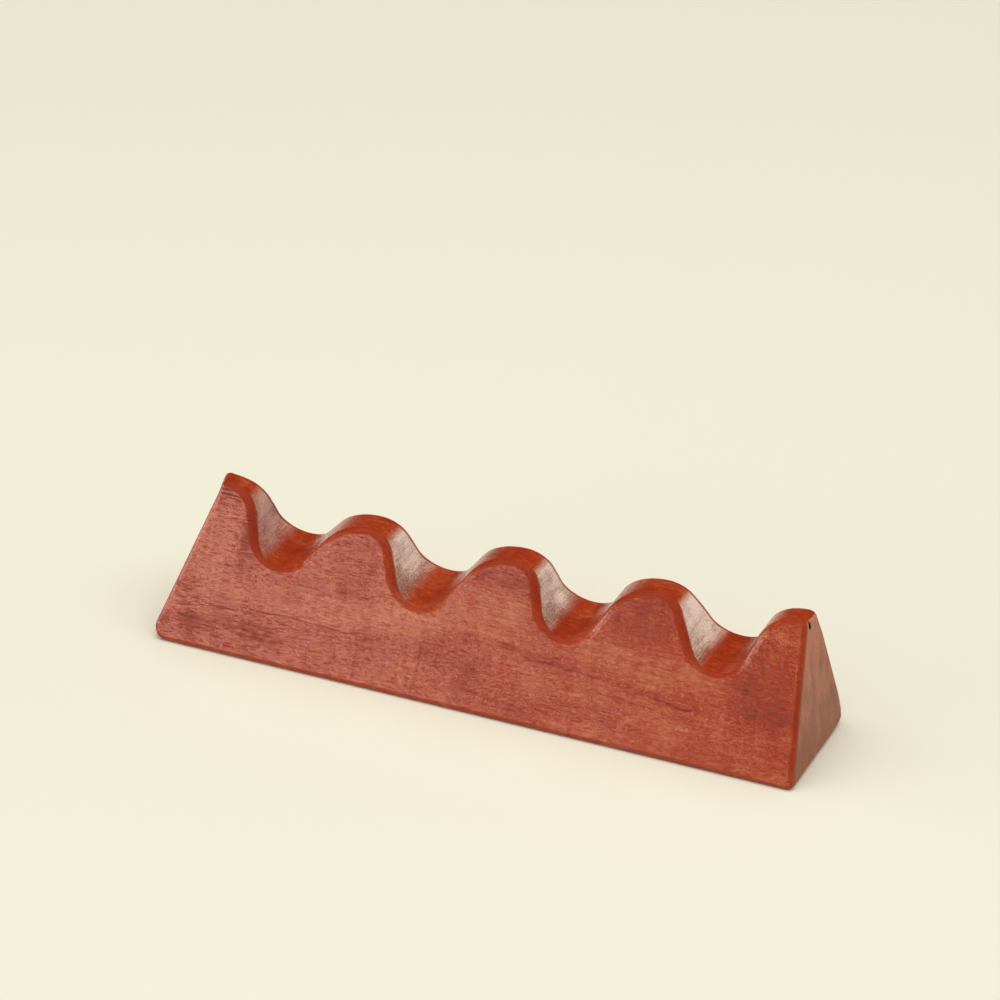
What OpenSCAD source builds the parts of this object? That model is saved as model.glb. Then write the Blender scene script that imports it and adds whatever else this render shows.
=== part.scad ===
// Brush rest carved from one block of red hardwood. The block is a long wedge-shaped bar
// that stands on its wide face. A wave of five crests and four notches is cut straight
// through it from front to back, and every edge is eased by hand.
// X runs along the rest, Y from front to back and Z up. The origin is the middle of its
// footprint, on the surface that it stands on.

/* [Block] */
// Length along the base, between its corners before they are rounded
length = 160; // [145:1:200]
// Depth along the base, front to back, before its edges are eased
depth = 35.6; // [30:0.1:46]
// Width of the ridge at the top of the left crest, before its edges are eased
ridge_w = 5.5; // [5:0.1:9]
// Lean of the left end from upright, in degrees
left_lean = 18.3; // [4:0.1:24]
// Lean of the right end from upright, in degrees
right_lean = 5.7; // [2:0.1:24]

/* [Crests] */
// Height of the crest at the left end, which stands proud of the others
left_crest_h = 37.3; // [33:0.1:42]
// Heights of the three inner crests, left to right
inner_crest_h = [34.1, 34.7, 35]; // [31:0.1:38]
// Height of the crest at the right end
right_crest_h = 36; // [31:0.1:38]
// Distance of the left crest's peak from the left end, at crest height
left_crest_inset = 1.2; // [0.6:0.1:3]
// Distance of the right crest's peak from the right end, at crest height
right_crest_inset = 1.6; // [0.6:0.1:3]
// How far each inner crest stands right of even spacing
crest_drift = [0.8, 1.7, 1.5]; // [-2:0.1:2]
// Radius of the left crest, on its way down to the first notch
left_crest_r = 8.8; // [5:0.1:12]
// Radius of the inner crests on their slow left side
crest_slow_r = 14; // [6:0.1:16]
// Radius of the inner crests on their steep right side
crest_steep_r = 6.9; // [4:0.1:12]
// Radius of the right crest, on its way up from the last notch
right_crest_r = 11.3; // [5:0.1:14]

/* [Notches] */
// Heights of the four notch floors, left to right
notch_floor_h = [21.5, 19.9, 20.5, 20.8]; // [16:0.1:24]
// How far each notch sits left of the middle between its crests' even places
notch_drift = [1.9, 2, 1.4, 0.4]; // [-2:0.1:3]
// Radius of the notches, which a brush handle lies in
notch_r = 7; // [4:0.1:10]

/* [Eased edges] */
// Radius that eases the edges over the crests and in the notch floors
wave_edge_r = 1.3; // [0.5:0.1:2]
// Radius that eases the edges on the flanks between crests and floors
flank_edge_r = 2.1; // [0.5:0.1:3]
// Radius that eases the edges round the base
base_edge_r = 1.2; // [0.4:0.1:2]
// Radius that eases the sloping edges of the two ends
end_edge_r = 1.4; // [0.5:0.1:2]
// Radius of the top left corner, seen from the front
top_left_r = 2.2; // [2:0.1:4]
// Radius of the top right corner, seen from the front
top_right_r = 2; // [2:0.1:4]
// Radius of the bottom left corner, seen from the front
bottom_left_r = 3; // [2.1:0.1:6]
// Radius of the bottom right corner, seen from the front
bottom_right_r = 2.1; // [2.1:0.1:6]

/* [Hidden] */

// Steps in each arc of the outline, and in each eased edge
outline_steps = 8;
edge_steps = 6;

// A flank's arcs take up at most this share of what it can hold, so a straight part is left
fullest_flank = 0.96;
// An edge is eased by at most this share of the radius of the crest or corner that it follows
fullest_edge = 0.9;
// A top corner's radius is at most this share of its crest's
fullest_corner = 0.5;

// The front and back faces draw in by this much for each millimetre of height
face_slope = (depth - ridge_w) / 2 / left_crest_h;
face_lean = atan(face_slope);

// Crests have even indices and notches odd ones, from left to right
last = 8;
first_x = -length / 2 + tan(left_lean) * left_crest_h + left_crest_inset;
last_x = length / 2 - tan(right_lean) * right_crest_h - right_crest_inset;
half_pitch = (last_x - first_x) / last;
drift = [
    0, -notch_drift[0], crest_drift[0], -notch_drift[1], crest_drift[1],
    -notch_drift[2], crest_drift[2], -notch_drift[3], 0
];
turn_x = [for (i = [0:last]) first_x + i * half_pitch + drift[i]];
turn_z = [
    left_crest_h, notch_floor_h[0], inner_crest_h[0], notch_floor_h[1], inner_crest_h[1],
    notch_floor_h[2], inner_crest_h[2], notch_floor_h[3], right_crest_h
];

// +1 at a crest, whose arc bulges up, and -1 at a notch
function bulge(i) = i % 2 == 0 ? 1 : -1;

// Radius wanted to the right of turn i, and to the left of it
function right_r(i) = i % 2 == 1 ? notch_r : i == 0 ? left_crest_r : crest_steep_r;
function left_r(i) = i % 2 == 1 ? notch_r : i == last ? right_crest_r : crest_slow_r;

// A flank can hold only so much arc, so both of its radii shrink by this share where it is short
function flank_room(dx, dz, radii) =
    min(1, fullest_flank * (dx * dx + dz * dz) / (2 * dz) / radii);

// The flank from turn i to the next: [angle from level, radius at turn i, radius at the next]
function flank(i) =
    let (
        dx = turn_x[i + 1] - turn_x[i],
        dz = abs(turn_z[i + 1] - turn_z[i]),
        wanted = right_r(i) + left_r(i + 1),
        share = flank_room(dx, dz, wanted),
        radii = wanted * share,
        straight = sqrt(dx * dx + (dz - radii) * (dz - radii) - radii * radii),
        angle = atan2(dz - radii, dx) + atan2(radii, straight)
    )
    [angle, right_r(i) * share, left_r(i + 1) * share];

// Part of a circle as stations [x, z, normal, edge radius], where normal is the outward
// direction in degrees from up towards +X. side is +1 for a crest or corner, which lies on the
// outer side of its centre, and -1 for a notch.
function arc(cx, cz, radius, side, normal_a, normal_b, edge_a, edge_b) = [
    for (k = [0:outline_steps])
        let (
            share = k / outline_steps,
            normal = normal_a + (normal_b - normal_a) * share,
            edge = edge_a + (edge_b - edge_a) * (1 - cos(180 * share)) / 2
        )
        [
            cx + side * radius * sin(normal),
            cz + side * radius * cos(normal),
            normal,
            side > 0 ? min(edge, fullest_edge * radius) : edge
        ]
];

// The two arcs of one flank, from normal start_normal at turn i to normal end_normal at the next
function flank_stations(i, start_normal, end_normal) =
    let (f = flank(i), side = bulge(i), steep = side * f[0])
    concat(
        arc(turn_x[i], turn_z[i] - side * f[1], f[1], side,
            start_normal, steep, wave_edge_r, flank_edge_r),
        arc(turn_x[i + 1], turn_z[i + 1] + side * f[2], f[2], -side,
            steep, end_normal, flank_edge_r, wave_edge_r)
    );

// Centre of the circle of radius r that rounds the corner between a leaning end and the crest
// circle of radius crest_r about [x, z]. hand is -1 at the left end and +1 at the right.
function top_corner(x, z, crest_r, r, lean, hand) =
    let (
        out = [hand * cos(lean), sin(lean)],
        up = [-hand * sin(lean), cos(lean)],
        gap = ([hand * length / 2, 0] - [x, z]) * out,
        rise = sqrt(max(0, pow(crest_r - r, 2) - pow(gap - r, 2)))
    )
    [x, z] + (gap - r) * out + rise * up;

// Centre of the circle of radius r that rounds a bottom corner
function bottom_corner(r, lean, hand) = [hand * (length / 2 - r * (1 + sin(lean)) / cos(lean)), r];

left_arc_r = flank(0)[1];
right_arc_r = flank(last - 1)[2];
left_corner_r = min(top_left_r, fullest_corner * left_arc_r);
right_corner_r = min(top_right_r, fullest_corner * right_arc_r);
left_z = left_crest_h - left_arc_r;
right_z = right_crest_h - right_arc_r;
top_left = top_corner(turn_x[0], left_z, left_arc_r, left_corner_r, left_lean, -1);
top_right = top_corner(turn_x[last], right_z, right_arc_r, right_corner_r, right_lean, 1);
bottom_left = bottom_corner(bottom_left_r, left_lean, -1);
bottom_right = bottom_corner(bottom_right_r, right_lean, 1);

// Normals where the crest circles at the ends pass into their corners
left_pass = atan2(top_left[0] - turn_x[0], top_left[1] - left_z);
right_pass = atan2(top_right[0] - turn_x[last], top_right[1] - right_z);

// The outline seen from the front, from the bottom left corner over the wave to the bottom right
over_the_top = concat(
    arc(bottom_left[0], bottom_left[1], bottom_left_r, 1,
        -180, left_lean - 90, base_edge_r, end_edge_r),
    arc(top_left[0], top_left[1], left_corner_r, 1,
        left_lean - 90, left_pass, end_edge_r, wave_edge_r),
    [
        for (i = [0:last - 1])
            let (
                start_normal = i == 0 ? left_pass : 0,
                end_normal = i == last - 1 ? right_pass : 0,
                stations = flank_stations(i, start_normal, end_normal)
            )
            for (k = [1:len(stations) - 1]) stations[k]
    ],
    [
        for (k = [1:outline_steps])
            arc(top_right[0], top_right[1], right_corner_r, 1,
                right_pass, 90 - right_lean, wave_edge_r, end_edge_r)[k]
    ],
    arc(bottom_right[0], bottom_right[1], bottom_right_r, 1,
        90 - right_lean, 180, end_edge_r, base_edge_r)
);

// One foot on the base under each crest. The large faces are fans of triangles about the feet.
feet_x = [
    for (i = [0:2:last])
        i == 0 ? first_x + half_pitch / 4 : i == last ? last_x - half_pitch / 4 : turn_x[i]
];
feet = len(feet_x);
base_line = [for (k = [feet - 1:-1:0]) [feet_x[k], 0, 180, base_edge_r]];
outline = concat(over_the_top, base_line);

// The rounded corners make the footprint shorter at one end than at the other
reach = [for (s = outline) s[0]];
middle_x = (min(reach) + max(reach)) / 2;

// The foot whose fan a station belongs to: one more for each notch that lies to its left
function foot_of(station) = len([for (i = [1:2:last - 1]) if (turn_x[i] < station[0]) i]);

// A ball rolled round the outline against the front face eases the edge there. This is the
// ball's arc at one station, from the cut surface to the front face.
function eased_edge(station) =
    let (
        r = station[3],
        cut_normal = [sin(station[2]), 0, cos(station[2])],
        face_normal = [0, -cos(face_lean), sin(face_lean)],
        x = station[0] - middle_x - r * cut_normal[0],
        z = station[1] - r * cut_normal[2],
        centre = [x, face_slope * z - depth / 2 + r / cos(face_lean), z],
        sweep = acos(cut_normal * face_normal)
    )
    [
        for (k = [0:edge_steps])
            let (turn = sweep * k / edge_steps)
            centre + r / sin(sweep) * (sin(sweep - turn) * cut_normal + sin(turn) * face_normal)
    ];

// One ring of points crosses the cut surface from the rim of the back face to that of the front
function ring(station) =
    let (front = eased_edge(station))
    concat(
        [for (k = [edge_steps:-1:0]) [front[k][0], -front[k][1], front[k][2]]],
        front
    );

// Triangles of the front or back face, whose rim is point k of every ring
function large_face(k, ring_points) =
    let (
        rim = [for (i = [0:len(outline) - 1]) i * ring_points + k],
        foot = [for (s = over_the_top) rim[len(outline) - 1 - foot_of(s)]]
    )
    [
        for (i = [0:len(over_the_top) - 2])
            each [
                [rim[i], rim[i + 1], foot[i]],
                if (foot[i] != foot[i + 1]) [rim[i + 1], foot[i + 1], foot[i]]
            ]
    ];

// The same triangles seen from their other side
function turned(faces) = [for (f = faces) [f[2], f[1], f[0]]];

module rest_block() {
    stations = len(outline);
    ring_points = 2 * (edge_steps + 1);
    points = [for (s = outline) for (p = ring(s)) p];
    skin = [
        for (i = [0:stations - 1], k = [0:ring_points - 2])
            let (a = i * ring_points + k, b = (i + 1) % stations * ring_points + k)
            each [[a, b, b + 1], [a, b + 1, a + 1]]
    ];
    back_face = turned(large_face(0, ring_points));
    front_face = large_face(ring_points - 1, ring_points);
    color("#9b4632")
        polyhedron(points, concat(skin, back_face, front_face), convexity = 10);
}

rest_block();
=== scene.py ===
"""Looks of a brush rest: one wedge-shaped block of satin red hardwood with a wave cut through its
ridge. X runs along the rest, Y from front to back and Z up. Lengths are in millimetres until the
mesh is made, and the wood reads the same millimetres from the object's own coordinates."""

import math

import bmesh
import bpy
from mathutils import Matrix, Vector, noise


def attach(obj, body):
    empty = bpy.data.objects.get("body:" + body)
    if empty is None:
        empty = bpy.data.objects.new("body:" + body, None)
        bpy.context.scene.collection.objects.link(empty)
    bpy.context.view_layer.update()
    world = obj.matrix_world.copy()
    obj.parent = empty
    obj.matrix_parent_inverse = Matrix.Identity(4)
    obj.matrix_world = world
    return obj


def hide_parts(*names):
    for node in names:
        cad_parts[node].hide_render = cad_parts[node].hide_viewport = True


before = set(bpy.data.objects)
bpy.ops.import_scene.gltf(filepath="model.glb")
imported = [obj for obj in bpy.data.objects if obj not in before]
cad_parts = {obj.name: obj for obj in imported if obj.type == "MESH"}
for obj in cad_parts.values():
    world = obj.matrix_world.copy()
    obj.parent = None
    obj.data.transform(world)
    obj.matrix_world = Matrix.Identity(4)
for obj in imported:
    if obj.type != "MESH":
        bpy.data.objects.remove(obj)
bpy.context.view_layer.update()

MM = 0.001
QUARTER = math.pi / 2

# The block: overall sizes, the width left at the ridge, and how the two ends lean in
LENGTH = 160.0
DEPTH = 35.6
RIDGE_W = 5.5
LEFT_LEAN = math.radians(18.3)
RIGHT_LEAN = math.radians(5.7)
LEFT_INSET = 1.2
RIGHT_INSET = 1.6

# The wave: height of each turn, its drift from an even pitch, and the radii
CREST_H = [37.3, 34.1, 34.7, 35.0, 36.0]
CREST_DRIFT = [0.0, 0.8, 1.7, 1.5, 0.0]
NOTCH_H = [21.5, 19.9, 20.5, 20.8]
NOTCH_DRIFT = [-1.9, -2.0, -1.4, -0.4]
LEFT_CREST_R = 8.8
SLOW_R = 14.0
STEEP_R = 6.9
RIGHT_CREST_R = 11.3
NOTCH_R = 7.0
FULLEST_FLANK = 0.96

# Radii of the eased edges and of the four corners of the side view
CREST_EDGE_R = 2.0
NOTCH_EDGE_R = 1.3
FLANK_EDGE_R = 2.1
BASE_EDGE_R = 1.2
END_EDGE_R = 1.4
TOP_LEFT_R = 1.9
TOP_RIGHT_R = 2.0
BOTTOM_LEFT_R = 3.0
BOTTOM_RIGHT_R = 1.6
FULLEST_EDGE = 0.9

# Mesh steps: arcs, corners and edges in pieces, shares across the cut and down a large face
ARC_STEPS = 12
CORNER_STEPS = 5
EDGE_STEPS = 10
STRAIGHT_STEP = 1.0
SAME_PLACE = 0.001
ACROSS = [0.0, 0.05, 0.2, 0.35, 0.5, 0.65, 0.8, 0.95, 1.0]
DOWN = [0.012, 0.06, 0.13, 0.21, 0.3, 0.39, 0.48, 0.57, 0.66, 0.75, 0.83, 0.9, 0.95, 0.985]

FACE_SLOPE = (DEPTH - RIDGE_W) / 2 / CREST_H[0]
FACE_LEAN = math.atan(FACE_SLOPE)
FRONT = Vector((0, -math.cos(FACE_LEAN), math.sin(FACE_LEAN)))
FIRST_X = -LENGTH / 2 + math.tan(LEFT_LEAN) * CREST_H[0] + LEFT_INSET
LAST_X = LENGTH / 2 - math.tan(RIGHT_LEAN) * CREST_H[-1] - RIGHT_INSET
FLANKS = 2 * len(NOTCH_H)
HALF_PITCH = (LAST_X - FIRST_X) / FLANKS


def turn_place(i):
    """(x, z) of one turn of the wave: even turns are crests and odd ones notches."""
    heights, drifts = (CREST_H, CREST_DRIFT) if i % 2 == 0 else (NOTCH_H, NOTCH_DRIFT)
    return FIRST_X + i * HALF_PITCH + drifts[i // 2], heights[i // 2]


TURNS = [turn_place(i) for i in range(FLANKS + 1)]


def wanted_radii(i):
    """Radii wanted at both ends of the flank from turn i to the next."""
    if i % 2 == 0:
        return (LEFT_CREST_R if i == 0 else STEEP_R), NOTCH_R
    return NOTCH_R, (RIGHT_CREST_R if i == FLANKS - 1 else SLOW_R)


def flank(i):
    """Angle from level, radius at turn i and radius at the next."""
    dx = TURNS[i + 1][0] - TURNS[i][0]
    dz = abs(TURNS[i + 1][1] - TURNS[i][1])
    a, b = wanted_radii(i)
    share = min(1.0, FULLEST_FLANK * (dx * dx + dz * dz) / (2 * dz) / (a + b))
    radii = (a + b) * share
    straight = math.sqrt(dx * dx + (dz - radii) ** 2 - radii**2)
    angle = math.atan2(dz - radii, dx) + math.atan2(radii, straight)
    return angle, a * share, b * share


def arc(centre, radius, side, normals, edges, steps=ARC_STEPS):
    """Stations (x, z, normal, edge radius) along part of a circle. side is 1 where the wood is
    inside the circle and -1 where it is outside."""
    made = []
    for k in range(steps + 1):
        share = k / steps
        normal = normals[0] + (normals[1] - normals[0]) * share
        edge = edges[0] + (edges[1] - edges[0]) * (1 - math.cos(math.pi * share)) / 2
        if side > 0:
            edge = min(edge, FULLEST_EDGE * radius)
        x = centre[0] + side * radius * math.sin(normal)
        z = centre[1] + side * radius * math.cos(normal)
        made.append((x, z, normal, edge))
    return made


def top_corner(centre, crest_r, r, lean, hand):
    """Centre of the circle that rounds the corner between a leaning end and its crest."""
    out = Vector((hand * math.cos(lean), math.sin(lean)))
    up = Vector((-hand * math.sin(lean), math.cos(lean)))
    gap = (Vector((hand * LENGTH / 2, 0)) - Vector(centre)).dot(out)
    rise = math.sqrt((crest_r - r) ** 2 - (gap - r) ** 2)
    return Vector(centre) + (gap - r) * out + rise * up


def bottom_corner(r, lean, hand):
    """Centre of the circle that rounds the corner between a leaning end and the base."""
    return Vector((hand * (LENGTH / 2 - r * (1 + math.sin(lean)) / math.cos(lean)), r))


LEFT_CENTRE = (TURNS[0][0], TURNS[0][1] - flank(0)[1])
RIGHT_CENTRE = (TURNS[-1][0], TURNS[-1][1] - flank(FLANKS - 1)[2])
TOP_LEFT = top_corner(LEFT_CENTRE, flank(0)[1], TOP_LEFT_R, LEFT_LEAN, -1)
TOP_RIGHT = top_corner(RIGHT_CENTRE, flank(FLANKS - 1)[2], TOP_RIGHT_R, RIGHT_LEAN, 1)
BOTTOM_LEFT = bottom_corner(BOTTOM_LEFT_R, LEFT_LEAN, -1)
BOTTOM_RIGHT = bottom_corner(BOTTOM_RIGHT_R, RIGHT_LEAN, 1)
LOW_X = BOTTOM_LEFT[0] - BOTTOM_LEFT_R
HIGH_X = BOTTOM_RIGHT[0] + BOTTOM_RIGHT_R
MIDDLE_X = (LOW_X + HIGH_X) / 2


def wave_stations(left_pass, right_pass):
    """The flanks, from the top left corner to the top right one."""
    made = []
    for i in range(FLANKS):
        angle, a, b = flank(i)
        side = 1 if i % 2 == 0 else -1
        (x0, z0), (x1, z1) = TURNS[i], TURNS[i + 1]
        start = left_pass if i == 0 else 0.0
        end = right_pass if i == FLANKS - 1 else 0.0
        first, last = (CREST_EDGE_R, NOTCH_EDGE_R)[::side]
        down = arc((x0, z0 - side * a), a, side, (start, side * angle), (first, FLANK_EDGE_R))
        up = arc((x1, z1 + side * b), b, -side, (side * angle, end), (FLANK_EDGE_R, last))
        made += [down, up]
    return made


def upper_stations():
    """Over the top, from the point furthest left to the point furthest right."""
    left_pass = math.atan2(TOP_LEFT[0] - LEFT_CENTRE[0], TOP_LEFT[1] - LEFT_CENTRE[1])
    right_pass = math.atan2(TOP_RIGHT[0] - RIGHT_CENTRE[0], TOP_RIGHT[1] - RIGHT_CENTRE[1])
    left_end, right_end = LEFT_LEAN - QUARTER, QUARTER - RIGHT_LEAN
    low_edges = ((BASE_EDGE_R + END_EDGE_R) / 2, END_EDGE_R)
    high_edges = (END_EDGE_R, CREST_EDGE_R)
    parts = [
        arc(BOTTOM_LEFT, BOTTOM_LEFT_R, 1, (-QUARTER, left_end), low_edges, CORNER_STEPS),
        arc(TOP_LEFT, TOP_LEFT_R, 1, (left_end, left_pass), high_edges),
        *wave_stations(left_pass, right_pass),
        arc(TOP_RIGHT, TOP_RIGHT_R, 1, (right_pass, right_end), high_edges[::-1]),
        arc(BOTTOM_RIGHT, BOTTOM_RIGHT_R, 1, (right_end, QUARTER), low_edges[::-1], CORNER_STEPS),
    ]
    made = list(parts[0])
    for part in parts[1:]:
        made += between(made[-1], part[0])
        made += part if math.dist(made[-1][:2], part[0][:2]) > SAME_PLACE else part[1:]
    return made


def between(a, b):
    """Stations that divide a straight stretch, both ends left out."""
    count = int(math.dist(a[:2], b[:2]) / STRAIGHT_STEP)
    return [tuple(p + (q - p) * k / count for p, q in zip(a, b)) for k in range(1, count)]


def lower_station(x):
    """The station under x, on the base or on the lower half of a bottom corner."""
    for centre, r, hand in ((BOTTOM_LEFT, BOTTOM_LEFT_R, -1), (BOTTOM_RIGHT, BOTTOM_RIGHT_R, 1)):
        past = hand * (x - centre[0]) / r
        if past > 0:
            turn = math.asin(min(1.0, past))
            drop = r - r * math.cos(turn)
            share = (1 - math.cos(2 * turn)) / 2
            edge = BASE_EDGE_R + share * (END_EDGE_R - BASE_EDGE_R) / 2
            return x, drop, hand * (math.pi - turn), edge
    return x, 0.0, math.pi, BASE_EDGE_R


def eased_edge(station):
    """Points and normals of a ball rolled along the front edge, from the cut to the face."""
    x, z, normal, r = station
    cut = Vector((math.sin(normal), 0, math.cos(normal)))
    high = z - r * cut.z
    deep = FACE_SLOPE * high - DEPTH / 2 + r / math.cos(FACE_LEAN)
    centre = Vector((x - MIDDLE_X - r * cut.x, deep, high))
    sweep = cut.angle(FRONT)
    made = []
    for k in range(EDGE_STEPS + 1):
        turn = sweep * k / EDGE_STEPS
        out = (math.sin(sweep - turn) * cut + math.sin(turn) * FRONT) / math.sin(sweep)
        made.append((centre + r * out, out))
    return made


def turned(v):
    """The same vector on the back half."""
    return Vector((v.x, -v.y, v.z))


def ring(station):
    """Points and normals across the block at one station, from the back rim to the front one."""
    front = eased_edge(station)
    back = [(turned(p), turned(out)) for p, out in front]
    across = [(back[0][0].lerp(front[0][0], share), front[0][1]) for share in ACROSS]
    return back[:0:-1] + across + front[1:]


def smooth(value, low, high):
    """0 at low and 1 at high, with a soft start and end."""
    share = min(1.0, max(0.0, (value - low) / (high - low)))
    return share * share * (3 - 2 * share)


# Mask of the steep cut across the grain: degrees from level where it starts and is full, by the
# crests and by the notch floors, and its small share where the cut faces left, since the pale it
# carries is partly painted sheen that only the right-facing flanks catch
CUT = "cut_grain"
CUT_BY_CREST = (38, 56)
CUT_BY_FLOOR = (22, 46)
MIDDLE_Z = 28.0
END_CUT_X = 72.0
LEFTWARD_CUT = 0.06

# Mask of the painted shade on the eased edges: steps over which it fades at the large faces, the
# degrees between which an edge counts as facing left, and its share there
EDGE_SHADE_MASK = "eased_edge"
EASED_FADE = 3
LEFTWARD_FROM = (-12, -30)
LEFTWARD_TO = (-130, -100)
LEFTWARD_EASED = 0.15


def cut_share(station, k, points):
    """1 on the steep cut across the grain between the eased edges, and 0 elsewhere."""
    past_edge = min(k, points - 1 - k) - EDGE_STEPS
    if past_edge < 0 or abs(station[0]) > END_CUT_X:
        return 0.0
    start, full = CUT_BY_CREST if station[1] > MIDDLE_Z else CUT_BY_FLOOR
    share = (abs(math.degrees(station[2])) - start) / (full - start)
    return min(1.0, max(0.0, share)) * (1.0 if station[2] > 0 else LEFTWARD_CUT)


def eased_share(station, k, points):
    """Share of painted shade: 1 on the eased edges, less at the large faces and where the cut faces
    left.
    """
    to_face = min(k, points - 1 - k)
    if to_face >= EDGE_STEPS:
        return 0.0
    turn = math.degrees(station[2])
    leftward = smooth(turn, *LEFTWARD_FROM) * smooth(turn, *LEFTWARD_TO)
    return min(1.0, to_face / EASED_FADE) * (1 - leftward * (1 - LEFTWARD_EASED))


def mark(layer, share, stations, rows):
    """Writes a mask into the vertices of rows, of which each belongs to one station."""
    for station, row in zip(stations, rows):
        for k, v in enumerate(row):
            v[layer] = share(station, k, len(row))


def put_vertices(bm, outward, pairs):
    """New vertices, with the outward direction of each kept in a list."""
    outward.extend(out for place, out in pairs)
    return [bm.verts.new(place) for place, out in pairs]


def join_rows(bm, rows):
    for a, b in zip(rows, rows[1:]):
        for k in range(len(a) - 1):
            bm.faces.new((a[k], b[k], b[k + 1], a[k + 1]))


def large_face(bm, outward, out, top, base):
    """Columns of faces between the wave's rim and the base's."""
    columns = [[top[0]]]
    for a, b in zip(top[1:-1], base[1:-1]):
        column = put_vertices(bm, outward, [(a.co.lerp(b.co, share), out) for share in DOWN])
        columns.append([a] + column + [b])
    columns.append([top[-1]])
    for a, b in zip(columns, columns[1:]):
        for k in range(max(len(a), len(b)) - 1):
            corners = (a[0],) if len(a) == 1 else (a[k], a[k + 1])
            corners += (b[0],) if len(b) == 1 else (b[k + 1], b[k])
            bm.faces.new(corners)


def build_block():
    """The carved block as one closed mesh, with its cut grain and the painted shade on its eased
    edges as attributes.
    """
    bm = bmesh.new()
    outward = []
    cut = bm.verts.layers.float.new(CUT)
    eased = bm.verts.layers.float.new(EDGE_SHADE_MASK)
    upper = upper_stations()
    lower = [lower_station(s[0]) for s in upper]
    top = [put_vertices(bm, outward, ring(s)) for s in upper]
    base = [top[0]] + [put_vertices(bm, outward, ring(s)) for s in lower[1:-1]] + [top[-1]]
    mark(cut, cut_share, upper, top)
    mark(eased, eased_share, upper + lower, top + base)
    join_rows(bm, top)
    join_rows(bm, base)
    for k, out in ((0, turned(FRONT)), (-1, FRONT)):
        large_face(bm, outward, out, [r[k] for r in top], [r[k] for r in base])
    hand_finish(bm, outward)
    bmesh.ops.recalc_face_normals(bm, faces=bm.faces)
    return bm


# Hand sanding leaves the faces a little uneven: swells per millimetre and their depth
SWELLS = [(1 / 26, 0.16), (1 / 9, 0.05)]
SWELL_SHIFT = Vector((7.3, 1.9, 4.1))
SANDED_FROM_Z = 2.5

# The back is a little fuller than the front between these heights, and its lower edge is rounder
BACK_FULLNESS = 0.8
FULLEST_FROM = (1.0, 9.0)
FULLEST_TO = (36.0, 27.0)
BACK_BASE_R = 3.4
ROUNDED_FROM = 0.55

# The top of the left end runs back askew
SKEW = 0.25
SKEW_Z = (14.0, 37.0)
SKEW_X = (-62.0, -66.5)

# A small pit where the right end meets the front edge: middle, half sizes and depth
PIT = Vector((76.0, -1.35, 34.2))
PIT_HALF = Vector((2.2, 0.48, 1.2))
PIT_DEPTH = 0.6


def back_y(z):
    """Where the flat back face is at height z."""
    return DEPTH / 2 - FACE_SLOPE * z


def fill_back(place):
    if place.y > 0:
        full = smooth(place.z, *FULLEST_FROM) * smooth(place.z, *FULLEST_TO)
        place.y *= 1 + BACK_FULLNESS * full / back_y(place.z)


def round_back(place):
    """Draws the lower back edge in towards a rounder one."""
    centre = Vector((back_y(BACK_BASE_R) - BACK_BASE_R / math.cos(FACE_LEAN), BACK_BASE_R))
    off = Vector((place.y, place.z)) - centre
    still = ROUNDED_FROM * BACK_BASE_R
    turn = math.atan2(off.x, -off.y)
    if off.length > still and 0 < turn < QUARTER + FACE_LEAN:
        rim = BACK_BASE_R / max(math.cos(turn), math.cos(QUARTER + FACE_LEAN - turn))
        reach = still + (off.length - still) * (BACK_BASE_R - still) / (rim - still)
        place.y, place.z = centre + off.normalized() * reach


def skew_left(place):
    askew = smooth(place.z, *SKEW_Z) * smooth(place.x, *SKEW_X)
    place.x -= SKEW * max(0.0, place.y + RIDGE_W / 2) * askew


def pit_reach(place):
    """0 in the middle of the pit, 1 at its rim."""
    return Vector(tuple((p - q) / h for p, q, h in zip(place, PIT, PIT_HALF))).length


def hand_finish(bm, outward):
    """The unevenness of handwork: the fuller back, the left end's skew, slow swells and the pit."""
    for v, out in zip(bm.verts, outward):
        fill_back(v.co)
        round_back(v.co)
        skew_left(v.co)
        depth = 0.0
        for scale, size in SWELLS:
            depth += size * (0.5 + 0.5 * noise.noise(v.co * scale + SWELL_SHIFT))
        depth *= min(1.0, v.co.z / SANDED_FROM_Z)
        depth += PIT_DEPTH * max(0.0, 1 - pit_reach(v.co) ** 2)
        v.co -= out * depth


def new_object(name, bm):
    """A smooth object in the scene, from a mesh in millimetres."""
    mesh = bpy.data.meshes.new(name)
    bm.transform(Matrix.Scale(MM, 4))
    bm.to_mesh(mesh)
    bm.free()
    mesh.shade_smooth()
    made = bpy.data.objects.new(name, mesh)
    bpy.context.scene.collection.objects.link(made)
    return made


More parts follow.
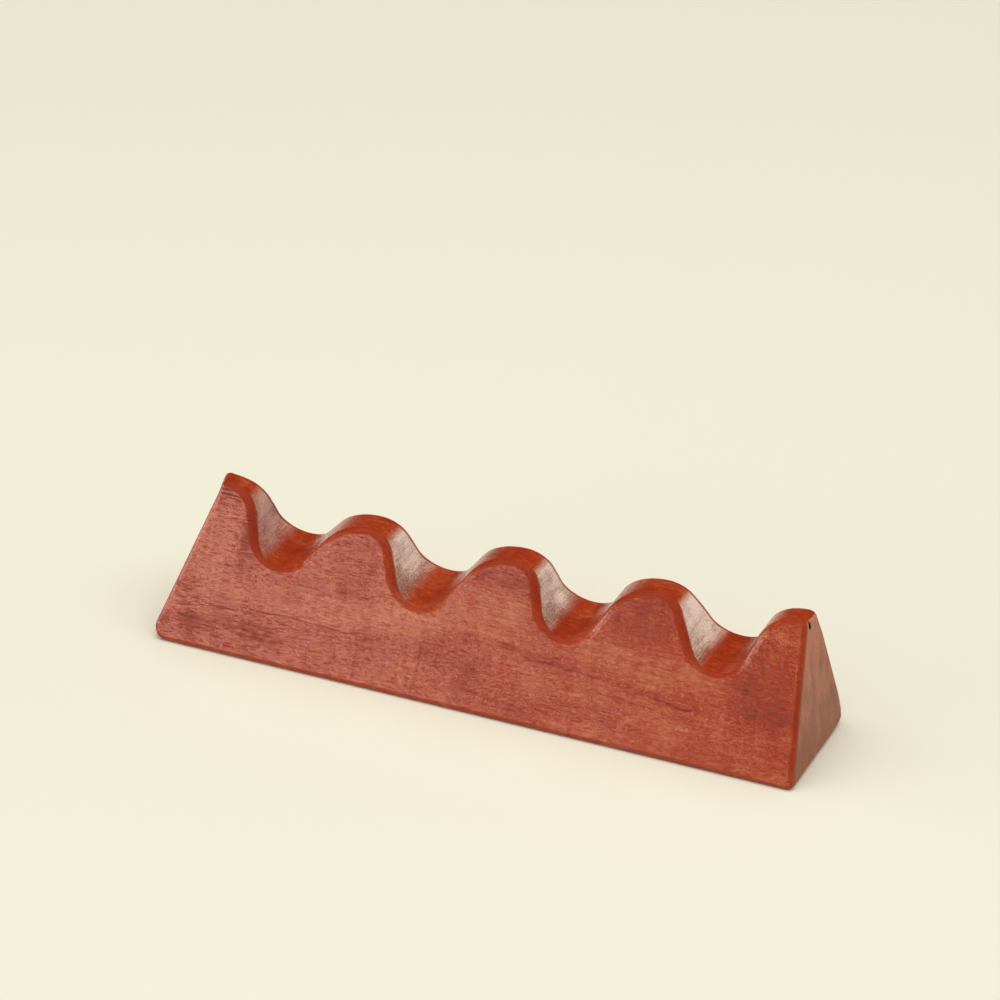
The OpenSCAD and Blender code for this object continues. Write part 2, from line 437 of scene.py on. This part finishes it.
class Nodes:
    """A short way to write a node tree."""

    def __init__(self, tree):
        self.tree = tree

    def add(self, kind, inputs=(), **settings):
        node = self.tree.nodes.new(kind)
        for key, value in settings.items():
            setattr(node, key, value)
        for key, value in dict(inputs).items():
            self.put(value, node.inputs[key])
        return node

    def put(self, value, socket):
        if isinstance(value, bpy.types.NodeSocket):
            self.tree.links.new(value, socket)
        else:
            socket.default_value = value

    def parts(self, vector):
        """A vector's X, Y and Z by name."""
        return self.add("ShaderNodeSeparateXYZ", {"Vector": vector}).outputs

    def mask(self, name):
        """The value of a mask that the mesh carries."""
        return self.add("ShaderNodeAttribute", attribute_name=name).outputs["Fac"]

    def maths(self, operation, *values):
        return self.add("ShaderNodeMath", dict(enumerate(values)), operation=operation).outputs[0]

    def vectors(self, operation, *values):
        inputs = dict(enumerate(values))
        return self.add("ShaderNodeVectorMath", inputs, operation=operation).outputs

    def scaled(self, vector, scale, shift=(0, 0, 0)):
        inputs = {"Vector": vector, "Scale": scale, "Location": shift}
        return self.add("ShaderNodeMapping", inputs).outputs[0]

    def texture(self, vector, scale, shift, detail, rough, warp):
        """Noise from 0 to 1 about 0.5."""
        inputs = {"Vector": self.scaled(vector, scale, shift), "Scale": 1.0, "Detail": detail}
        inputs.update({"Roughness": rough, "Distortion": warp})
        return self.add("ShaderNodeTexNoise", inputs).outputs[0]

    def window(self, value, low, high, to_low=0.0, to_high=1.0):
        """value from low to high becomes to_low to to_high, smoothly."""
        inputs = {"Value": value, "From Min": low, "From Max": high}
        inputs.update({"To Min": to_low, "To Max": to_high})
        made = self.add("ShaderNodeMapRange", inputs, interpolation_type="SMOOTHSTEP")
        return made.outputs[0]

    def mix(self, share, a, b):
        made = self.add("ShaderNodeMix", data_type="RGBA")
        for key, value in (("Factor_Float", share), ("A_Color", a), ("B_Color", b)):
            self.put(value, next(s for s in made.inputs if s.identifier == key))
        return next(s for s in made.outputs if s.identifier == "Result_Color")

    def spread(self, value, size):
        """A texture's value about its middle, from -size to size."""
        return self.maths("MULTIPLY", self.maths("SUBTRACT", value, 0.5), 2 * size)

    def total(self, values):
        made = values[0]
        for value in values[1:]:
            made = self.maths("ADD", made, value)
        return made

    def weighted(self, values, weights):
        """Each named value times its weight."""
        return [self.maths("MULTIPLY", values[name], weight) for name, weight in weights.items()]


def rgb(red, green, blue):
    return (red, green, blue, 1.0)


# Noise in the wood: turns per millimetre along X, Y and Z, shift, detail, roughness and warp
TEXTURES = {
    "wobble": ((0.06, 0.05, 0.05), (0.0, 0.0, 0.0), 3.0, 0.5, 0.0),
    "zones": ((0.022, 0.11, 0.11), (3.0, 0.4, 1.2), 4.0, 0.55, 0.4),
    "curl": ((0.26, 0.05, 0.07), (5.0, 2.0, 0.0), 2.0, 0.5, 0.0),
    "mottle": ((0.45, 1.0, 1.0), (0.0, 0.0, 0.0), 4.0, 0.65, 0.0),
    "streaks": ((0.09, 1.7, 1.7), (1.0, 9.0, 4.0), 5.0, 0.7, 0.0),
    "fine": ((1.1, 3.2, 3.2), (2.0, 6.0, 7.0), 2.0, 0.6, 0.0),
    "smudges": ((0.30, 0.28, 0.12), (1.0, 2.0, 3.0), 4.0, 0.6, 0.0),
    "speckle": ((2.3, 2.0, 2.3), (0.0, 0.0, 0.0), 3.0, 0.8, 0.0),
    "scratches": ((2.8, 0.14, 2.8), (0.0, 0.0, 0.0), 3.0, 0.6, 0.0),
    "patches": ((0.3, 0.16, 0.3), (2.0, 0.0, 5.0), 2.0, 0.5, 0.0),
    "peel": ((0.75, 1.5, 1.5), (6.0, 3.0, 8.0), 2.0, 0.6, 0.0),
}

# Dashes along the grain: cell in millimetres, shift and share of cells kept
DASHES = {
    "wide_pores": ((3.2, 0.36, 0.36), (0.0, 0.0, 0.0), 0.20),
    "thin_pores": ((1.7, 0.28, 0.28), (4.1, 2.7, 8.3), 0.26),
    "flecks": ((2.0, 0.36, 0.36), (7.7, 5.2, 1.9), 0.22),
}
DASH_SIZE = 0.42
DASH_CORE = 0.35
KEPT_FADE = 0.15

# Tone of the wood, 0 dark to 1 light: its middle, and how far each texture and dash moves it
MIDDLE_TONE = 0.57
TONE_SPREADS = {"zones": 0.46, "curl": 0.24, "mottle": 0.40, "streaks": 0.36, "fine": 0.17}
TONE_WEIGHTS = {"wide_pores": -0.21, "thin_pores": -0.16, "flecks": 0.09}
GRAIN_WOBBLE = 2.2

# Colours of the wood from its darkest to its lightest tone, as (tone, colour)
TONES = [
    (0.00, rgb(0.15, 0.015, 0.003)),
    (0.20, rgb(0.25, 0.022, 0.004)),
    (0.40, rgb(0.33, 0.031, 0.006)),
    (0.55, rgb(0.38, 0.044, 0.010)),
    (0.75, rgb(0.455, 0.092, 0.033)),
    (1.00, rgb(0.53, 0.162, 0.078)),
]

# Clouds in the figure of the wood, some also painted light on the left of the front face and
# painted shade at its right end and low on the first steep flank: x, z, half length, half height,
# change of tone
FIGURE_AND_LIGHT_CLOUDS = [
    (-62, 5, 19, 4.6, -0.25),
    (-59, 26, 4, 8, -0.18),
    (-32, 27, 7, 8, -0.13),
    (3, 30, 6, 6, -0.11),
    (38, 26, 7, 9, -0.13),
    (69, 20, 9, 10, -0.22),
    (16, 6.5, 26, 3.4, -0.14),
    (-44, 15, 24, 4, 0.17),
    (-68, 22, 8, 10, 0.13),
    (-20, 17, 12, 5, 0.13),
    (2, 22, 9, 7, 0.14),
    (-69, 35, 8, 2.4, -0.12),
    (48, 10.5, 13, 3.2, 0.05),
]
CLOUD_FADE = (0.1, 1.3)

# Dark veins along the grain: x and z where they start, x where they end, rise per millimetre,
# half width and depth of tone
VEINS = [
    (-76, 9.7, -58, 0.055, 0.14, 0.33),
    (-60, 11.4, -28, 0.004, 0.15, 0.36),
    (-41, 14.6, -35, 0.0, 0.14, 0.34),
    (-5, 17.4, 56, -0.078, 0.55, 0.13),
    (10, 15.5, 20, -0.04, 0.16, 0.32),
    (19, 14.8, 30, -0.03, 0.14, 0.28),
    (42, 13.3, 54, -0.06, 0.18, 0.34),
    (30, 11.6, 45, -0.03, 0.14, 0.28),
    (-69, 35.7, -64, 0.05, 0.16, 0.38),
    (-69.5, 34.9, -61, -0.03, 0.16, 0.42),
    (-67, 34.2, -60.5, -0.05, 0.14, 0.36),
]
VEIN_CORE = 0.3
VEIN_RIM = 1.7
VEIN_FADE = 2


def cloud(n, x, z, middle_x, middle_z, half_x, half_z, tone):
    across = n.maths("DIVIDE", n.maths("SUBTRACT", x, middle_x), half_x)
    up = n.maths("DIVIDE", n.maths("SUBTRACT", z, middle_z), half_z)
    reach = n.maths("ADD", n.maths("MULTIPLY", across, across), n.maths("MULTIPLY", up, up))
    return n.window(reach, *CLOUD_FADE, tone, 0.0)


def vein(n, x, z, start_x, start_z, end_x, rise, half_width, depth):
    line = n.maths("MULTIPLY_ADD", n.maths("SUBTRACT", x, start_x), rise, start_z)
    off = n.maths("ABSOLUTE", n.maths("SUBTRACT", z, line))
    core, rim = half_width * VEIN_CORE, half_width * VEIN_RIM
    starts = n.window(x, start_x, start_x + VEIN_FADE)
    stops = n.window(x, end_x - VEIN_FADE, end_x, 1.0, 0.0)
    shown = n.maths("MULTIPLY", starts, stops)
    return n.maths("MULTIPLY", n.window(off, core, rim, -depth, 0.0), shown)


def dashes(n, mm, cell, shift, kept):
    place = n.scaled(mm, tuple(1 / c for c in cell), shift)
    cells = n.add("ShaderNodeTexVoronoi", {"Vector": place, "Scale": 1.0})
    near = n.window(cells.outputs["Distance"], DASH_SIZE * DASH_CORE, DASH_SIZE, 1.0, 0.0)
    pick = n.add("ShaderNodeSeparateColor", {"Color": cells.outputs["Color"]}).outputs[0]
    return n.maths("MULTIPLY", near, n.window(pick, kept, kept + KEPT_FADE, 1.0, 0.0))


def spreads(n, textures, sizes):
    return [n.spread(textures[name], size) for name, size in sizes.items()]


def wood_tone(n, textures, marks, x, z):
    bent_z = n.maths("ADD", z, n.spread(textures["wobble"], GRAIN_WOBBLE))
    parts = [MIDDLE_TONE] + spreads(n, textures, TONE_SPREADS)
    # The clouds add the figure of the wood, painted light on the left of the front face and painted
    # shade at its right end and low on the first steep flank.
    parts += [cloud(n, x, bent_z, *c) for c in FIGURE_AND_LIGHT_CLOUDS]
    parts += [vein(n, x, bent_z, *v) for v in VEINS]
    return n.total(parts + n.weighted(marks, TONE_WEIGHTS))


def tone_colour(n, tone):
    ramp = n.add("ShaderNodeValToRGB", {"Fac": tone})
    stops = ramp.color_ramp.elements
    while len(stops) < len(TONES):
        stops.new(0.5)
    for stop, (place, colour) in zip(stops, TONES):
        stop.position = place
        stop.color = colour
    return ramp.outputs["Color"]


# Painted shade on what faces up, darkest in the notch floors: how level it is, and the change of
# tone from a low to a high place
LEVEL_SHADE = (0.6, 0.9)
LEVEL_SHADE_TONES = (22.0, 29.0, -0.12, -0.08)

# The two ends: how squarely they face along X, where they are, and their end grain colours by
# height, darker towards the foot as painted shade
END_FACING = (0.80, 0.95)
END_FROM_X = (65.5, 67.0)
END_SHADE_Z = (0.0, 34.0)
END_SMUDGES = 40.0
END_TOP = rgb(0.43, 0.15, 0.075)
END_SHADED_FOOT = rgb(0.22, 0.065, 0.024)
END_SHARE = 0.80

# Cut end grain on the steep flanks, rubbed pale and dusty, with a painted sheen that grows towards
# the right end and the back, and painted shade low down on the flanks
DUST = 0.60
DUST_SPREADS = {"speckle": 0.75, "scratches": 0.35, "patches": 0.5}
DUST_SHEEN_AND_SHADE_BY_PLACE = {
    "Z": (21.0, 27.0, -0.22, 0.0),
    "X": (20.0, 50.0, 0.0, 0.10),
    "Y": (-5.0, 5.0, -0.06, 0.14),
}
PALE_DUST_AND_SHEEN = rgb(0.79, 0.62, 0.55)
DUSTY_DARK = rgb(0.29, 0.11, 0.07)
DUSTY_TONES = (0.15, 0.95)
DUSTY_SPECK = rgb(0.93, 0.83, 0.76)
SPECKS = (0.60, 0.72, 0.0, 0.45)
DUST_AND_SHEEN_REACH = (-72.0, -20.0, 0.35, 1.0)

# Painted shade: the eased edges are darkened to a deep red, and the pit is painted black
EDGE_SHADE_COLOUR = rgb(0.30, 0.028, 0.007)
EDGE_SHADE_SHARE = 0.55
PIT_SHADE_COLOUR = rgb(0.010, 0.006, 0.005)
PIT_RIM = (0.65, 1.05, 1.0, 0.0)

# The polish: its roughness, what each mask and the dark tones add, and the relief of the grain
SMOOTHEST = 0.19
ROUGH_WEIGHTS = {"end": 0.25, "pores": 0.25, "cut": 0.26, "eased": 0.12, "pit": 0.6}
ROUGH_BY_TONE = (0.05, 0.50, 0.36, 0.0)
ROUGH_SPREADS = {"speckle": 0.10}
RELIEF_WEIGHTS = {"pores": -0.6}
RELIEF_SPREADS = {"streaks": 0.6, "speckle": 0.25, "peel": 1.3}
BUMP_STRENGTH = 0.5
BUMP_DEPTH = 0.06 * MM
MIRRORING = 0.35


def end_mask(n, x, facing_x):
    facing = n.window(n.maths("ABSOLUTE", facing_x), *END_FACING)
    return n.maths("MULTIPLY", facing, n.window(n.maths("ABSOLUTE", x), *END_FROM_X))


def pit_mask(n, mm):
    away = n.vectors("SUBTRACT", mm, PIT)[0]
    away = n.vectors("DIVIDE", away, PIT_HALF)[0]
    return n.window(n.vectors("LENGTH", away)["Value"], *PIT_RIM)


def grain_and_shade_colour(n, tone, z, facing_z):
    # Painted shade: faces that point up are darkened, the notch floors most.
    level_shade = n.maths("MULTIPLY", n.window(facing_z, *LEVEL_SHADE), n.window(z, *LEVEL_SHADE_TONES))
    return tone_colour(n, n.maths("ADD", tone, level_shade))


def end_grain_and_shade_colour(n, textures, z):
    # Painted shade: the end grain darkens towards the foot.
    height = n.maths("ADD", z, n.spread(textures["smudges"], END_SMUDGES))
    return n.mix(n.window(height, *END_SHADE_Z), END_SHADED_FOOT, END_TOP)


def dust_and_sheen_colour(n, textures, along):
    # Dust on the cut end grain mixed with painted sheen, paler to the right and the back, with
    # painted shade lower down.
    parts = [DUST] + spreads(n, textures, DUST_SPREADS)
    parts += [n.window(along[axis], *limits) for axis, limits in DUST_SHEEN_AND_SHADE_BY_PLACE.items()]
    colour = n.mix(n.window(n.total(parts), *DUSTY_TONES), DUSTY_DARK, PALE_DUST_AND_SHEEN)
    return n.mix(n.window(textures["speckle"], *SPECKS), colour, DUSTY_SPECK)


def wood_colour(n, tone, textures, marks, along, facing):
    colour = grain_and_shade_colour(n, tone, along["Z"], facing["Z"])
    end = n.maths("MULTIPLY", marks["end"], END_SHARE)
    colour = n.mix(end, colour, end_grain_and_shade_colour(n, textures, along["Z"]))
    # The steep flanks take the pale mix of dust and painted sheen.
    dust_and_sheen = n.maths("MULTIPLY", marks["cut"], n.window(along["X"], *DUST_AND_SHEEN_REACH))
    colour = n.mix(dust_and_sheen, colour, dust_and_sheen_colour(n, textures, along))
    # Painted shade: the eased edges are darkened to a deep red.
    colour = n.mix(n.maths("MULTIPLY", marks["eased"], EDGE_SHADE_SHARE), colour, EDGE_SHADE_COLOUR)
    # Painted shade: the pit is painted black.
    return n.mix(marks["pit"], colour, PIT_SHADE_COLOUR)


def wood_roughness(n, tone, textures, marks):
    parts = [SMOOTHEST, n.window(tone, *ROUGH_BY_TONE)] + n.weighted(marks, ROUGH_WEIGHTS)
    return n.total(parts + spreads(n, textures, ROUGH_SPREADS))


def wood_relief(n, textures, marks):
    parts = n.weighted(marks, RELIEF_WEIGHTS) + spreads(n, textures, RELIEF_SPREADS)
    inputs = {"Height": n.total(parts), "Strength": BUMP_STRENGTH, "Distance": BUMP_DEPTH}
    return n.add("ShaderNodeBump", inputs).outputs["Normal"]


def wood_material():
    made = bpy.data.materials.new("red_hardwood")
    made.use_nodes = True
    n = Nodes(made.node_tree)
    place = n.add("ShaderNodeTexCoord").outputs
    mm = n.scaled(place["Object"], (1 / MM,) * 3)
    along, facing = n.parts(mm), n.parts(place["Normal"])
    textures = {name: n.texture(mm, *values) for name, values in TEXTURES.items()}
    marks = {name: dashes(n, mm, *values) for name, values in DASHES.items()}
    marks["pores"] = n.maths("MAXIMUM", marks["wide_pores"], marks["thin_pores"])
    marks["end"] = end_mask(n, along["X"], facing["X"])
    marks["cut"] = n.mask(CUT)
    marks["eased"] = n.mask(EDGE_SHADE_MASK)
    marks["pit"] = pit_mask(n, mm)
    tone = wood_tone(n, textures, marks, along["X"], along["Z"])
    shader = made.node_tree.nodes["Principled BSDF"].inputs
    n.put(wood_colour(n, tone, textures, marks, along, facing), shader["Base Color"])
    n.put(wood_roughness(n, tone, textures, marks), shader["Roughness"])
    n.put(wood_relief(n, textures, marks), shader["Normal"])
    shader["Specular IOR Level"].default_value = MIRRORING
    return made


FLOOR_HALF = 6.0
FLOOR_COLOUR = rgb(0.84, 0.83, 0.745)
FLOOR_ROUGHNESS = 0.9


def lay_floor():
    """A plain pale table top under the rest."""
    bm = bmesh.new()
    bmesh.ops.create_grid(bm, x_segments=1, y_segments=1, size=FLOOR_HALF / MM)
    floor = new_object("floor", bm)
    made = bpy.data.materials.new("pale_table")
    made.use_nodes = True
    shader = made.node_tree.nodes["Principled BSDF"].inputs
    shader["Base Color"].default_value = FLOOR_COLOUR
    shader["Roughness"].default_value = FLOOR_ROUGHNESS
    shader["Specular IOR Level"].default_value = 0.0
    floor.data.materials.append(made)


# Softboxes: direction from the rest, distance, width and height in metres, radiance, and whether
# each lights the wood and whether the polish mirrors it
FRONT_LEFT = ((-0.82, -0.53, 0.21), 1.3, 2.05, 0.37)
LAMPS = {
    "front_left": (*FRONT_LEFT, 7.4, False, True),
    "front_left_fill": (*FRONT_LEFT, 3.55, True, False),
    "back_right": ((0.786, 0.614, 0.07), 1.6, 0.9, 0.24, 6.6, True, True),
    "overhead": ((0.12, -0.10, 0.99), 1.2, 2.3, 2.3, 1.78, True, False),
}
LAMP_COLOUR = (1.0, 0.97, 0.87)


def hang_lamps():
    for name, (toward, distance, width, height, radiance, lights, mirrored) in LAMPS.items():
        light = bpy.data.lights.new(name, "AREA")
        light.shape = "RECTANGLE"
        light.size, light.size_y = width, height
        light.energy = radiance * width * height * math.pi
        light.color = LAMP_COLOUR
        lamp = bpy.data.objects.new(name, light)
        direction = Vector(toward).normalized()
        lamp.location = direction * distance
        lamp.rotation_mode = "QUATERNION"
        lamp.rotation_quaternion = direction.to_track_quat("Z", "Y")
        lamp.visible_camera = False
        lamp.visible_diffuse = lights
        lamp.visible_glossy = mirrored
        bpy.context.scene.collection.objects.link(lamp)


# The room: pale walls up to a low height, and a dim ceiling
WALL = rgb(0.24, 0.23, 0.20)
WALL_TOP = (0.03, 0.12)
DIM = rgb(0.05, 0.05, 0.046)


def light_room():
    world = bpy.data.worlds.new("room")
    world.use_nodes = True
    bpy.context.scene.world = world
    n = Nodes(world.node_tree)
    up = n.parts(n.add("ShaderNodeTexCoord").outputs["Generated"])["Z"]
    colour = n.mix(n.window(up, *WALL_TOP), WALL, DIM)
    n.put(colour, world.node_tree.nodes["Background"].inputs["Color"])


# The camera: where it stands round the target, its tilt, and its long lens, in metres and mm
CAMERA_AZIMUTH = math.radians(21.842)
CAMERA_ELEVATION = math.radians(29.557)
CAMERA_ROLL = math.radians(1.663)
CAMERA_DISTANCE = 1.360311
CAMERA_TARGET = Vector((-0.000103, 0, 0.047379))
LENS = 216
SENSOR = 36


def place_camera():
    az, el = CAMERA_AZIMUTH, CAMERA_ELEVATION
    back = Vector((math.sin(az) * math.cos(el), -math.cos(az) * math.cos(el), math.sin(el)))
    right = Vector((math.cos(az), math.sin(az), 0))
    up = right.cross(-back)
    c, s = math.cos(CAMERA_ROLL), math.sin(CAMERA_ROLL)
    axes = Matrix((right * c + up * s, up * c - right * s, back)).transposed()
    data = bpy.data.cameras.new("camera")
    data.lens = LENS
    data.sensor_width = SENSOR
    camera = bpy.data.objects.new("camera", data)
    place = Matrix.Translation(CAMERA_TARGET + back * CAMERA_DISTANCE)
    camera.matrix_world = place @ axes.to_4x4()
    bpy.context.scene.collection.objects.link(camera)
    bpy.context.scene.camera = camera


place_camera()
block = new_object("carved_block", build_block())
block.data.materials.append(wood_material())
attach(block, "root")
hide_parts("rest_block")
lay_floor()
hang_lamps()
light_room()
bpy.context.scene.view_settings.view_transform = "Standard"
